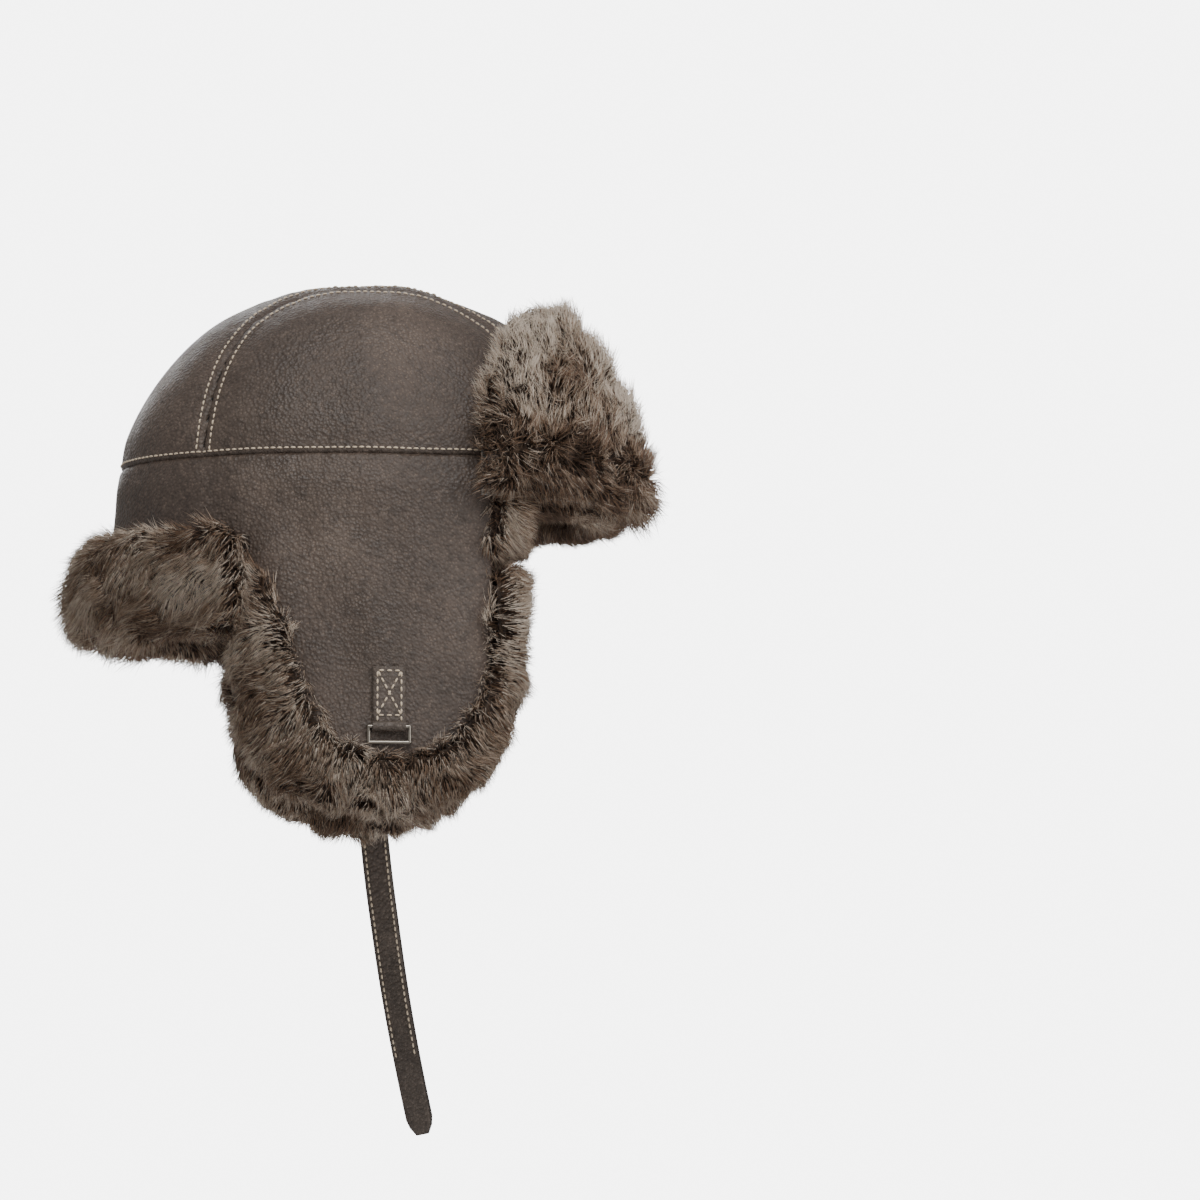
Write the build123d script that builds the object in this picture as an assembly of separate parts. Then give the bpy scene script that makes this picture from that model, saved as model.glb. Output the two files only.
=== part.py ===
from build123d import *
import os
from math import cos, radians, sin, tan

# A trapper hat, upright as it is worn. Millimetres.
# Z is up, the front faces -Y, the wearer's right is -X and left is +X.
# The origin is the middle of the head opening, level with the forehead edge.

# Crown: a half ellipsoid on a wall that flares a little.
CROWN_HALF_WIDTH = 84.0
CROWN_HALF_LENGTH = 126.0
CROWN_HEIGHT = 118.0
WALL_DROP = 180.0
WALL_FLARE = 1.08  # width at the foot of the wall, in crown widths

# Layers of the crown and the flaps, as distances in from the outer face.
LEATHER = 1.6
LAYER_GAP = 0.1
WADDING = 3.5
LINING = 1.2
SWEATBAND = 1.2
FLAP_WADDING = 4.0
FLAP_PILE_IN = 19.0  # inner face of the flap's fur lining
NECK_PILE_IN = 14.0  # inner face of the neck's and the temples' fur
TRIM_OUT = 6.0  # the fur trim stands this far out of the leather
TEMPLE_OUT = 7.0

# Seams. A seam is a gap between two panels.
SEAM = 0.3
BAND_SEAM_Z = 21.0
ARCH_CENTER_Y = -2.0
ARCH_HALF_LENGTH = 86.5
ARCH_HEIGHT = 114.0
ARCH_POWER = 2.5
ARCH_POINTS = 16

# Lower edges.
FOREHEAD_Z = 0.0
BAND_FRONT_Y = -59.0  # the band and flap leather ends here, in front
BAND_BACK_Z = -40.0  # the leather at the neck ends here, inside the fur roll
FLAP_BACK_Y = 66.0  # the flap ends and the neck begins
FOLD_X = 87.0
FOLD_Z = -27.25
FOLD_GAP = 0.75
FLAP_TOP_Z = -31.2  # the flap's leather starts here: its ends rise as it swings in
SOFT_TOP_Z = -35.0  # the flap's thick layers start here, to leave room at the fold
INNER_FOOT_Z = 0.4  # crown wadding and lining end here
BAND_FUR_FOOT_Z = -15.0
NECK_FOOT_Z = -66.0
SWEATBAND_TOP_Z = 33.0

# Flap outlines in side view, as (Y, Z) from the front round the tip to the back.
TONGUE = [(-59, -58), (-56, -88), (-46, -113), (-28, -126), (-8, -129.5), (10, -125), (27, -108), (38, -80)]
TONGUE_BACK = (50, -44)
TONGUE_TOP_BACK_Y = 61.0
TRIM = [(-75, -60), (-72, -98), (-60, -130), (-38, -149), (-5, -156), (28, -150), (50, -136), (62, -112)]
TRIM_BACK = (66, -85)
TEMPLE_FRONT_Y = -75.0

# Neck fur roll: a ring with an elliptical section, behind the flaps.
ROLL_HALF_WIDTH = 91.0
ROLL_HALF_LENGTH = 132.0
ROLL_Z = -42.0
ROLL_SECTION = (9.5, 25.0)

# Raised visor.
VISOR_GAP = 1.6
VISOR_LEATHER = 1.6
VISOR_STIFFENER = 3.2
VISOR_OUTER = (105.0, 148.0, 141.0)
VISOR_OUTLINE = [(-54, 22), (-57, 58), (-68, 92), (-82, 103)]
VISOR_CREST_Y = -102.0
VISOR_FRONT_Y = -160.0
VISOR_TOP_Z = 104.0
VISOR_FOOT_Z = 1.0

# Tab and metal ring on the right flap; strap anchor on the left one.
TAB_Y = -8.0
TAB_WIDTH = 16.4
TAB_THICKNESS = 1.8
TAB_TOP_Z = -86.0
LOOP_X = 91.7
LOOP_Z = -115.5
LOOP_RADIUS = 2.6
WIRE_RADIUS = 0.9
LOOP_BORE_RADIUS = WIRE_RADIUS + 0.35
RING_WIDTH = 20.0
RING_HEIGHT = 7.8
ANCHOR_FOOT_Z = -104.6

# Chin strap: a flat strap that hangs from the left flap, over its fur trim.
STRAP_WIDTH = 15.0
STRAP_THICKNESS = 2.4
STRAP_ROUTE = [
    (90.6, -105), (91.2, -113), (95.8, -121), (99.2, -130.5), (100.6, -143), (100.9, -160),
    (100.2, -182), (99.2, -207), (98.4, -234), (98.3, -262), (98.9, -289), (99.9, -314),
]
ARC_SHARE = 0.45

# Tweed patches on the left side.
PATCH_LENGTH = 47.0
PATCH_HEIGHT = 32.0
PATCH_THICKNESS = 0.8
PATCH_UPPER = (32.0, 51.0)
PATCH_LOWER = (-32.0, -47.0)

LABEL_WIDTH = 32.0
LABEL_Z = (34.0, 52.0)
LABEL_THICKNESS = 0.6

REACH = 200.0  # further than any part of the hat


def crown_form(grow):
    """The crown and the wall below it, filled, with its outer face moved out by grow."""
    size = (CROWN_HALF_WIDTH + grow, CROWN_HALF_LENGTH + grow, CROWN_HEIGHT + grow)
    foot = -WALL_DROP / size[2]
    edge = Polyline((0, 1), (0, foot), (WALL_FLARE, foot), (1, 0)) + CenterArc((0, 0), 1, 0, 90)
    return scale(revolve(make_face(Plane.XZ * edge), Axis.Z), by=size)


def layer(outer, inner):
    """A skin between two distances from the leather's outer face, outwards positive."""
    return crown_form(outer) - crown_form(inner)


def zone(x=(-REACH, REACH), y=(-REACH, REACH), z=(-REACH, REACH)):
    """A box between the given limits."""
    middle = [(low + high) / 2 for low, high in (x, y, z)]
    return Pos(*middle) * Box(x[1] - x[0], y[1] - y[0], z[1] - z[0])


def side_block(edge):
    """A closed side-view outline, drawn as (Y, Z), run right across the hat."""
    return extrude(Plane.YZ.offset(-REACH) * make_face(edge), 2 * REACH)


def cap_arch(grow):
    """Side view of a crown side panel: a superellipse over the band seam."""
    half, height = ARCH_HALF_LENGTH + grow, ARCH_HEIGHT + grow
    points = []
    for step in range(ARCH_POINTS + 1):
        turn = radians(180 * step / ARCH_POINTS)
        reach = abs(cos(turn)) ** (2 / ARCH_POWER)
        side = 1 if cos(turn) >= 0 else -1
        points.append((ARCH_CENTER_Y + side * half * reach, height * abs(sin(turn)) ** (2 / ARCH_POWER)))
    return side_block(Spline(points) + Line(points[-1], points[0]))


def flap_outline(points, back, front_y, back_y, top):
    """Side view of a flap: a straight front edge, a round tip and a back edge, closed at top."""
    curve = Spline(points + [back], tangents=[(0, -1), (0.3, 1)])
    front_top, back_top = (front_y, top), (back_y, top)
    return side_block(curve + Polyline(back, back_top, front_top, points[0]))


def right(shape):
    """The wearer's right half of a shape."""
    return shape & zone(x=(-REACH, 0))


def mirrored(shape):
    """The left-hand twin of a right-hand piece."""
    return mirror(shape, about=Plane.YZ)


def crown_panels():
    """Centre strip, two side panels, two band panels and the forehead panel."""
    skin = layer(0, -LEATHER)
    cap = skin & zone(z=(BAND_SEAM_Z + SEAM / 2, REACH))
    side = right(cap & cap_arch(-SEAM / 2))
    wall = skin & zone(z=(BAND_BACK_Z, BAND_SEAM_Z - SEAM / 2))
    fold_cut = zone(y=(-REACH, FLAP_BACK_Y), z=(-REACH, FOLD_Z + FOLD_GAP))
    band = wall & zone(x=(-REACH, -SEAM / 2), y=(BAND_FRONT_Y, REACH))
    band -= fold_cut
    return {
        "crown_center_panel": cap - cap_arch(SEAM / 2),
        "crown_side_panel_right": side,
        "crown_side_panel_left": mirrored(side),
        "band_panel_right": band,
        "band_panel_left": mirrored(band),
        "forehead_panel": wall & zone(y=(-REACH, BAND_FRONT_Y - SEAM), z=(FOREHEAD_Z, REACH)),
    }


def crown_insides():
    """Wadding, lining, sweatband, size label, and the fur inside the band and neck."""
    wadding_out = -LEATHER - LAYER_GAP
    lining_out = wadding_out - WADDING - LAYER_GAP
    band_out = lining_out - LINING - LAYER_GAP
    above = zone(z=(INNER_FOOT_Z, REACH))
    low_band = zone(y=(BAND_FRONT_Y, REACH), z=(BAND_FUR_FOOT_Z, -INNER_FOOT_Z))
    neck = zone(y=(FLAP_BACK_Y + SEAM, REACH), z=(NECK_FOOT_Z, BAND_FUR_FOOT_Z + SEAM))
    label = zone(x=(-LABEL_WIDTH / 2, LABEL_WIDTH / 2), y=(0, REACH), z=LABEL_Z)
    return {
        "crown_wadding": layer(wadding_out, wadding_out - WADDING) & above,
        "crown_lining": layer(lining_out, lining_out - LINING) & above,
        "sweatband": layer(band_out, band_out - SWEATBAND) & zone(z=(INNER_FOOT_Z, SWEATBAND_TOP_Z)),
        "size_label": layer(band_out, band_out - LABEL_THICKNESS) & label,
        "neck_fur_lining": layer(wadding_out, -NECK_PILE_IN) & (low_band + neck),
    }


def outer_fur():
    """The roll of fur at the neck and the fur edge at each temple."""
    section = Plane.XZ * (Pos(ROLL_HALF_WIDTH, ROLL_Z) * Ellipse(*ROLL_SECTION))
    ring = scale(revolve(section, Axis.Z), by=(1, ROLL_HALF_LENGTH / ROLL_HALF_WIDTH, 1))
    temple_box = zone(
        x=(-REACH, 0), y=(TEMPLE_FRONT_Y, BAND_FRONT_Y - SEAM), z=(FOLD_Z + FOLD_GAP, FOREHEAD_Z - SEAM)
    )
    temple = layer(TEMPLE_OUT, -NECK_PILE_IN) & temple_box
    return {
        "neck_fur_trim": (ring - crown_form(LAYER_GAP)) & zone(y=(FLAP_BACK_Y + SEAM, REACH)),
        "temple_fur_right": temple,
        "temple_fur_left": mirrored(temple),
    }


def visor():
    """Backing, stiffener and fur of the visor, raised against the crown."""
    edge = Spline(VISOR_OUTLINE, tangents=[(0, 1), (-1, 0.3)])
    start, end = VISOR_OUTLINE[0], VISOR_OUTLINE[-1]
    corners = [end, (VISOR_CREST_Y, VISOR_TOP_Z), (VISOR_FRONT_Y, VISOR_TOP_Z)]
    corners += [(VISOR_FRONT_Y, VISOR_FOOT_Z), (start[0], VISOR_FOOT_Z), start]
    block = side_block(edge + Polyline(*corners))
    stiffener_in = VISOR_GAP + VISOR_LEATHER + LAYER_GAP
    fur_in = stiffener_in + VISOR_STIFFENER + LAYER_GAP
    outer = scale(Sphere(1), by=VISOR_OUTER)
    return {
        "visor_shell": layer(VISOR_GAP + VISOR_LEATHER, VISOR_GAP) & block,
        "visor_stiffener": layer(fur_in - LAYER_GAP, stiffener_in) & block,
        "visor_fur": (outer - crown_form(fur_in)) & block,
    }


def flap_right():
    """Leather, wadding, fur lining and fur trim of the right ear flap."""
    tongue = flap_outline(TONGUE, TONGUE_BACK, TONGUE[0][0], TONGUE_TOP_BACK_Y, FLAP_TOP_Z)
    rim = flap_outline(TRIM, TRIM_BACK, TRIM[0][0], TRIM_BACK[0], SOFT_TOP_Z)
    soft = zone(x=(-REACH, 0), z=(-REACH, SOFT_TOP_Z))
    wadding_out = -LEATHER - LAYER_GAP
    pile_out = wadding_out - FLAP_WADDING - LAYER_GAP
    inner = tongue & soft
    return {
        "flap_shell": right(layer(0, -LEATHER) & tongue),
        "flap_wadding": layer(wadding_out, wadding_out - FLAP_WADDING) & inner,
        "flap_fur_lining": layer(pile_out, -FLAP_PILE_IN) & inner,
        "flap_fur_trim": layer(TRIM_OUT, -FLAP_PILE_IN) & (rim - tongue) & soft,
    }


def strip_on_flap(top, foot):
    """A piece of strap that lies on the right flap's leather."""
    width = (TAB_Y - TAB_WIDTH / 2, TAB_Y + TAB_WIDTH / 2)
    block = zone(x=(-REACH, 0), y=width, z=(foot, top))
    return layer(LAYER_GAP + TAB_THICKNESS, LAYER_GAP) & block


def tab_and_ring():
    """The right flap's tab, folded round one side of a rectangular metal ring."""
    place = Pos(-LOOP_X, TAB_Y, LOOP_Z)
    barrel = place * Rot(90, 0, 0) * Cylinder(LOOP_RADIUS, TAB_WIDTH)
    bore = place * Rot(90, 0, 0) * Cylinder(LOOP_BORE_RADIUS, 2 * TAB_WIDTH)
    tab = strip_on_flap(TAB_TOP_Z, LOOP_Z) + barrel - bore
    return {"ring_tab_right": tab, "tab_ring": wire_ring()}


def wire_ring():
    """A rectangular ring of round wire that hangs from the tab's loop."""
    half = RING_WIDTH / 2
    corners = [
        Vector(-LOOP_X, TAB_Y - half, LOOP_Z),
        Vector(-LOOP_X, TAB_Y + half, LOOP_Z),
        Vector(-LOOP_X, TAB_Y + half, LOOP_Z - RING_HEIGHT),
        Vector(-LOOP_X, TAB_Y - half, LOOP_Z - RING_HEIGHT),
    ]
    ring = Part()
    for start, end in zip(corners, corners[1:] + corners[:1]):
        run = end - start
        ring += Plane(origin=(start + end) / 2, z_dir=run) * Cylinder(WIRE_RADIUS, run.length)
        ring += Pos(*start) * Sphere(WIRE_RADIUS)
    return ring


def chin_strap():
    """The free length of the strap, on straight runs joined by tangent arcs."""
    points = [Vector(x, TAB_Y, z) for x, z in STRAP_ROUTE]
    radii = []
    for before, corner, after in zip(points, points[1:], points[2:]):
        turn = (corner - before).get_angle(after - corner)
        run = min((corner - before).length, (after - corner).length)
        radii.append(ARC_SHARE * run / tan(radians(turn) / 2))
    path = FilletPolyline(*points, radius=radii)
    print("strap length", round(path.length, 1), "arc radii", [round(r) for r in radii])
    start = Plane(origin=points[0], x_dir=(0, 1, 0), z_dir=path % 0)
    return sweep(start * Rectangle(STRAP_WIDTH, STRAP_THICKNESS), path=path)


def patch(place):
    """A tweed patch on the left side, centred on a side-view point."""
    y, z = place
    block = zone(
        x=(0, REACH),
        y=(y - PATCH_LENGTH / 2, y + PATCH_LENGTH / 2),
        z=(z - PATCH_HEIGHT / 2, z + PATCH_HEIGHT / 2),
    )
    return layer(LAYER_GAP + PATCH_THICKNESS, LAYER_GAP) & block


def all_parts():
    parts = {**crown_panels(), **crown_insides(), **outer_fur(), **visor(), **tab_and_ring()}
    for name, piece in flap_right().items():
        parts[name + "_right"] = piece
        parts[name + "_left"] = mirrored(piece)
    parts["strap_anchor_left"] = mirrored(strip_on_flap(TAB_TOP_Z, ANCHOR_FOOT_Z))
    parts["chin_strap"] = chin_strap()
    parts["tweed_patch_upper"] = patch(PATCH_UPPER)
    parts["tweed_patch_lower"] = patch(PATCH_LOWER)
    return parts


os.makedirs("parts", exist_ok=True)
for node, part in all_parts().items():
    export_step(part, f"parts/{node}.step")
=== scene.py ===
import bpy
import numpy as np
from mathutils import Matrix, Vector, kdtree


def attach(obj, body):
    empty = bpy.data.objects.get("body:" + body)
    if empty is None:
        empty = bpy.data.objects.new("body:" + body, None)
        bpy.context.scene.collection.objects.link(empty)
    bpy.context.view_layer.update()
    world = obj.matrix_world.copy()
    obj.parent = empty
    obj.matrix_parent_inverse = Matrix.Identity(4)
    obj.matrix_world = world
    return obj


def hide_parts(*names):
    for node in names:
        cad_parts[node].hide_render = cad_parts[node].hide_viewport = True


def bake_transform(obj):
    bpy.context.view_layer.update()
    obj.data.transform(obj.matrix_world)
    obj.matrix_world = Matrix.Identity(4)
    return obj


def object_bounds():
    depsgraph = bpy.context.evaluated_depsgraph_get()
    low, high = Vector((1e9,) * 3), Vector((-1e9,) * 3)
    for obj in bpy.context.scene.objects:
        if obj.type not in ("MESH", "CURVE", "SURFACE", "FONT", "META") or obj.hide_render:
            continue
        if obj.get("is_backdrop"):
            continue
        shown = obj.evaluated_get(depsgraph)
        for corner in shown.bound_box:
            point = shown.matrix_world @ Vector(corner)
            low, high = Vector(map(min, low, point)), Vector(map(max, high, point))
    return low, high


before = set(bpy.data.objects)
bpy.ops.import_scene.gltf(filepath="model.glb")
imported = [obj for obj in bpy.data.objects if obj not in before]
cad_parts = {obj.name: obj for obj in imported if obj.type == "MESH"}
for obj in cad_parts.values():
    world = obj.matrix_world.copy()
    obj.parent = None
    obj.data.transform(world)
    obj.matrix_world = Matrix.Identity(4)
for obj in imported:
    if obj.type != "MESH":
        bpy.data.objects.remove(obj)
CAD_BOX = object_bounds()
MM = 0.001

# The hat's own sizes, in metres, as the CAD model has them.
HALF_WIDTH, HALF_LENGTH, HEIGHT = 84 * MM, 126 * MM, 118 * MM
WALL_DROP, WALL_FLARE = 180 * MM, 1.08
BAND_SEAM = 21 * MM
ARCH_Y, ARCH_HALF, ARCH_HEIGHT, ARCH_POWER = -2 * MM, 86.5 * MM, 114 * MM, 2.5
BAND_FRONT = -59 * MM
FLAP_BACK = 66 * MM
FOLD = -27.25 * MM
NECK_CUT = -19 * MM  # under the neck roll, so the neck stays when a flap folds
LEATHER = 1.6 * MM
STEP = 1.5 * MM  # cell height of the hide's grid
FLAP_HINGE_X = 87 * MM
BEND_TOP, BEND_FOOT = -14 * MM, -42 * MM  # heights of the flap hide's bend, passed in its blend, which no code here reads
NECK_FOOT = -40 * MM
TONGUE_FOOT = -134 * MM
TAB_Y, TAB_HALF = -8 * MM, 8.2 * MM
TAB_TOP, LOOP_Z = -86 * MM, -115.5 * MM
ANCHOR_FOOT = -104.6 * MM

STITCH_PITCH, STITCH_LENGTH, STITCH_RADIUS = 3.4 * MM, 2.7 * MM, 0.5 * MM


# ---------- materials ----------


class Shader:
    """A Principled material with a few short ways to add texture nodes."""

    def __init__(self, name, color, roughness, **sockets):
        self.material = bpy.data.materials.new(name)
        self.material.use_nodes = True
        self.nodes = self.material.node_tree.nodes
        self.links = self.material.node_tree.links
        self.main = self.nodes["Principled BSDF"]
        self.main.inputs["Base Color"].default_value = (*color, 1)
        self.main.inputs["Roughness"].default_value = roughness
        for socket, value in sockets.items():
            self.main.inputs[socket.replace("_", " ")].default_value = value

    def add(self, kind, **values):
        node = self.nodes.new(kind)
        for name, value in values.items():
            if name in node.inputs:
                node.inputs[name].default_value = value
            else:
                setattr(node, name, value)
        return node

    def place(self):
        return self.add("ShaderNodeTexCoord").outputs["Object"]

    def noise(self, scale, detail=4.0, roughness=0.6, distortion=0.0, stretch=None):
        node = self.add("ShaderNodeTexNoise", Scale=scale, Detail=detail, Distortion=distortion)
        node.inputs["Roughness"].default_value = roughness
        source = self.place()
        if stretch is not None:
            mapping = self.add("ShaderNodeMapping", Scale=stretch)
            self.links.new(source, mapping.inputs["Vector"])
            source = mapping.outputs["Vector"]
        self.links.new(source, node.inputs["Vector"])
        return node.outputs["Fac"]

    def cells(self, scale, feature="F1"):
        node = self.add("ShaderNodeTexVoronoi", Scale=scale, feature=feature)
        self.links.new(self.place(), node.inputs["Vector"])
        return node.outputs["Distance"]

    def ramp(self, source, *stops):
        node = self.add("ShaderNodeValToRGB")
        ramp = node.color_ramp
        while len(ramp.elements) < len(stops):
            ramp.elements.new(0.5)
        for element, (position, color) in zip(ramp.elements, stops):
            element.position = position
            element.color = (*color, 1)
        self.links.new(source, node.inputs["Fac"])
        return node.outputs["Color"]

    def grey(self, source, low, high, start=0.0, end=1.0):
        node = self.add("ShaderNodeMapRange")
        for name, value in (("From Min", start), ("From Max", end), ("To Min", low), ("To Max", high)):
            node.inputs[name].default_value = value
        self.links.new(source, node.inputs["Value"])
        return node.outputs["Result"]

    def mix(self, factor, first, second, blend="MIX"):
        node = self.add("ShaderNodeMix", data_type="RGBA", blend_type=blend)
        for index, value in ((0, factor), (6, first), (7, second)):
            if isinstance(value, bpy.types.NodeSocket):
                self.links.new(value, node.inputs[index])
            else:
                node.inputs[index].default_value = value
        return node.outputs[2]

    def sum(self, first, second, share=1.0):
        node = self.add("ShaderNodeMath", operation="MULTIPLY_ADD")
        self.links.new(second, node.inputs[0])
        node.inputs[1].default_value = share
        self.links.new(first, node.inputs[2])
        return node.outputs[0]

    def use(self, socket, source):
        self.links.new(source, self.main.inputs[socket])

    def bump(self, height, distance, strength=1.0):
        node = self.add("ShaderNodeBump", Strength=strength, Distance=distance)
        self.links.new(height, node.inputs["Height"])
        self.use("Normal", node.outputs["Normal"])


def leather_material(name, dark, mid, worn, grain=620.0):
    """Pebbled, mottled hide with dark pores and rusty worn patches."""
    shader = Shader(name, mid, 0.5, Specular_IOR_Level=0.4)
    patches = shader.ramp(shader.noise(15, 6, 0.62), (0.34, dark), (0.5, mid), (0.68, worn))
    speckle = shader.grey(shader.noise(340, 4, 0.75), 0, 0.75, 0.5, 0.66)
    mottled = shader.mix(speckle, patches, (*worn, 1))
    pores = shader.grey(shader.cells(grain), 0, 1, 0.45, 0.05)
    deep = [value * 0.45 for value in dark]
    creases = shader.grey(shader.noise(190, 5, 0.8, 0.6), 1, 0, 0.40, 0.50)
    pitted = shader.mix(shader.grey(pores, 0.55, 0), mottled, (*deep, 1))
    shader.use("Base Color", shader.mix(shader.grey(creases, 0, 0.5), pitted, (*deep, 1)))
    shader.use("Roughness", shader.grey(shader.noise(60, 4), 0.40, 0.60, 0.3, 0.7))
    pebble = shader.sum(shader.cells(grain), shader.noise(230, 5, 0.8), 0.8)
    shader.bump(pebble, 0.0007, 0.75)
    return shader.material


def fabric_material(name, low, high, scale, bump=0.0003, roughness=0.85):
    """A plain soft cloth: colour and bump from noise at one scale."""
    shader = Shader(name, high, roughness, Sheen_Weight=0.25)
    grain = shader.noise(scale, 4, 0.7)
    shader.use("Base Color", shader.ramp(grain, (0.35, low), (0.65, high)))
    shader.bump(grain, bump, 0.8)
    return shader.material


def quilted_material(name, low, high):
    """Lining cloth, quilted in diamonds about 30 mm wide."""
    shader = Shader(name, high, 0.45, Sheen_Weight=0.3)
    waves = []
    for lean in (1, -1):
        mapping = shader.add("ShaderNodeMapping", Rotation=(lean * 0.785, 0, lean * 0.785))
        shader.links.new(shader.place(), mapping.inputs["Vector"])
        wave = shader.add("ShaderNodeTexWave", Scale=11.0, wave_profile="SIN")
        shader.links.new(mapping.outputs["Vector"], wave.inputs["Vector"])
        waves.append(shader.grey(wave.outputs["Fac"], 0, 1, 0.0, 0.25))
    product = shader.add("ShaderNodeMath", operation="MULTIPLY")
    for index, wave in enumerate(waves):
        shader.links.new(wave, product.inputs[index])
    shader.use("Base Color", shader.ramp(product.outputs[0], (0.0, low), (0.5, high)))
    shader.bump(shader.sum(product.outputs[0], shader.noise(700, 2), 0.1), 0.0018, 0.8)
    return shader.material


def tweed_material(name, dark, light):
    """Herringbone: columns of slanted yarns that change side from one column to the next."""
    shader = Shader(name, light, 0.9, Sheen_Weight=0.3)
    axes = shader.add("ShaderNodeSeparateXYZ")
    shader.links.new(shader.place(), axes.inputs[0])
    column = shader.add("ShaderNodeMath", operation="PINGPONG")
    shader.links.new(axes.outputs["Y"], column.inputs[0])
    column.inputs[1].default_value = 4.0 * MM
    slant = shader.sum(axes.outputs["Z"], column.outputs[0], 1.0)
    turns = shader.add("ShaderNodeMath", operation="MULTIPLY")
    shader.links.new(slant, turns.inputs[0])
    turns.inputs[1].default_value = 6.283 / (2.2 * MM)
    wave = shader.add("ShaderNodeMath", operation="SINE")
    shader.links.new(turns.outputs[0], wave.inputs[0])
    yarn = shader.sum(wave.outputs[0], shader.noise(900, 3, 0.7), 1.4)
    shader.use("Base Color", shader.ramp(shader.grey(yarn, 0, 1, -0.4, 1.8), (0.3, dark), (0.65, light)))
    shader.bump(yarn, 0.0004, 0.8)
    return shader.material


def metal_material(name, color):
    shader = Shader(name, color, 0.28, Metallic=1.0)
    scratches = shader.noise(900, 4, 0.6, stretch=(1, 6, 1))
    shader.use("Roughness", shader.grey(scratches, 0.2, 0.42))
    shader.bump(scratches, 0.00005, 0.5)
    return shader.material


def hair_material(name, color):
    """One tone of pile. It is plain on purpose: the pile's colours come from many tones mixed."""
    return Shader(name, color, 0.55, Specular_IOR_Level=0.35).material


LEATHER_SKIN = leather_material(
    "leather", (0.070, 0.049, 0.037), (0.118, 0.086, 0.067), (0.200, 0.147, 0.114)
)
STRAP_SKIN = leather_material(
    "strap_leather", (0.075, 0.055, 0.043), (0.14, 0.107, 0.086), (0.22, 0.172, 0.14)
)
CUT_EDGE = fabric_material("leather_cut_edge", (0.02, 0.014, 0.011), (0.045, 0.033, 0.026), 900)
THREAD = fabric_material("stitch_thread", (0.46, 0.36, 0.25), (0.78, 0.65, 0.49), 3500, 0.0001, 0.7)
UNDERCOAT = fabric_material("fur_undercoat", (0.022, 0.013, 0.008), (0.085, 0.052, 0.030), 260, 0.002, 0.95)
QUILT = quilted_material("quilted_lining", (0.012, 0.009, 0.007), (0.05, 0.036, 0.028))
LABEL_CLOTH = fabric_material("label_cloth", (0.5, 0.46, 0.39), (0.68, 0.64, 0.56), 1600)
FELT = fabric_material("stiffener_felt", (0.2, 0.18, 0.16), (0.36, 0.33, 0.29), 800)
FLEECE = fabric_material("wadding_fleece", (0.6, 0.57, 0.52), (0.78, 0.75, 0.7), 500, 0.001)
TWEED = tweed_material("herringbone_tweed", (0.035, 0.018, 0.013), (0.34, 0.235, 0.175))
METAL = metal_material("ring_metal", (0.30, 0.27, 0.23))

HAIR = {
    "root": hair_material("hair_root", (0.026, 0.015, 0.010)),
    "brown": hair_material("hair_brown", (0.100, 0.061, 0.039)),
    "rust": hair_material("hair_rust", (0.195, 0.118, 0.072)),
    "tan": hair_material("hair_tan", (0.36, 0.27, 0.20)),
    "pale": hair_material("hair_pale", (0.60, 0.51, 0.42)),
}
HAIR_TONES = list(HAIR)


# ---------- geometry ----------


def ripple(points, wave, seed, waves=7):
    """Smooth noise between about -1 and 1, with the given wavelength, at points in metres."""
    rng = np.random.default_rng(seed)
    total = np.zeros(len(points))
    for _ in range(waves):
        heading = rng.normal(size=3)
        heading *= rng.uniform(0.6, 1.5) / np.linalg.norm(heading)
        total += np.sin(points @ heading * 2 * np.pi / wave + rng.uniform(0, 2 * np.pi))
    return total / np.sqrt(waves)


def form_scale(z):
    """How much wider the wall is at this height than at the origin; 0 to 1 on the dome."""
    dome = np.sqrt(np.clip(1 - (np.maximum(z, 0) / HEIGHT) ** 2, 0, 1))
    return np.where(z > 0, dome, 1 + (WALL_FLARE - 1) * np.maximum(-z, 0) / WALL_DROP)


def on_form(turn, z):
    """A point of the crown's outer face. turn is 0 at the back and grows to the wearer's left."""
    scale = form_scale(z)
    return np.stack([HALF_WIDTH * scale * np.sin(turn), HALF_LENGTH * scale * np.cos(turn), z], axis=-1)


def form_normal(points):
    """Outward direction of the crown's outer face."""
    z = points[:, 2]
    scale = form_scale(z)
    flat = np.maximum(scale, 0.02)
    slope = np.where(z > 0, z / HEIGHT**2, 0.04 / HALF_WIDTH)
    normal = np.stack([points[:, 0] / HALF_WIDTH**2, points[:, 1] / HALF_LENGTH**2, slope], axis=-1)
    normal[:, 2] = np.where(z > 0, slope, 0.04 / HALF_WIDTH / flat)
    return normal / np.linalg.norm(normal, axis=1, keepdims=True)


def side_point(y, z, side):
    """The point of the crown's outer face at this place in side view; side is -1 on the right."""
    y, z = np.asarray(y, float), np.asarray(z, float)
    scale = form_scale(z)
    turn = np.arccos(np.clip(y / (HALF_LENGTH * scale), -1, 1))
    return on_form(side * turn, z)


def arch_distance(points):
    """Distance in side view from the arched seam, positive inside the side panel."""
    y = (points[:, 1] - ARCH_Y) / ARCH_HALF
    z = np.maximum(points[:, 2], 0) / ARCH_HEIGHT
    level = (np.abs(y) ** ARCH_POWER + z**ARCH_POWER) ** (1 / ARCH_POWER)
    reach = np.hypot(points[:, 1] - ARCH_Y, points[:, 2])
    return (1 - level) * reach / np.maximum(level, 0.2)


def smooth(value, low, high):
    t = np.clip((value - low) / (high - low), 0, 1)
    return t * t * (3 - 2 * t)


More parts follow.
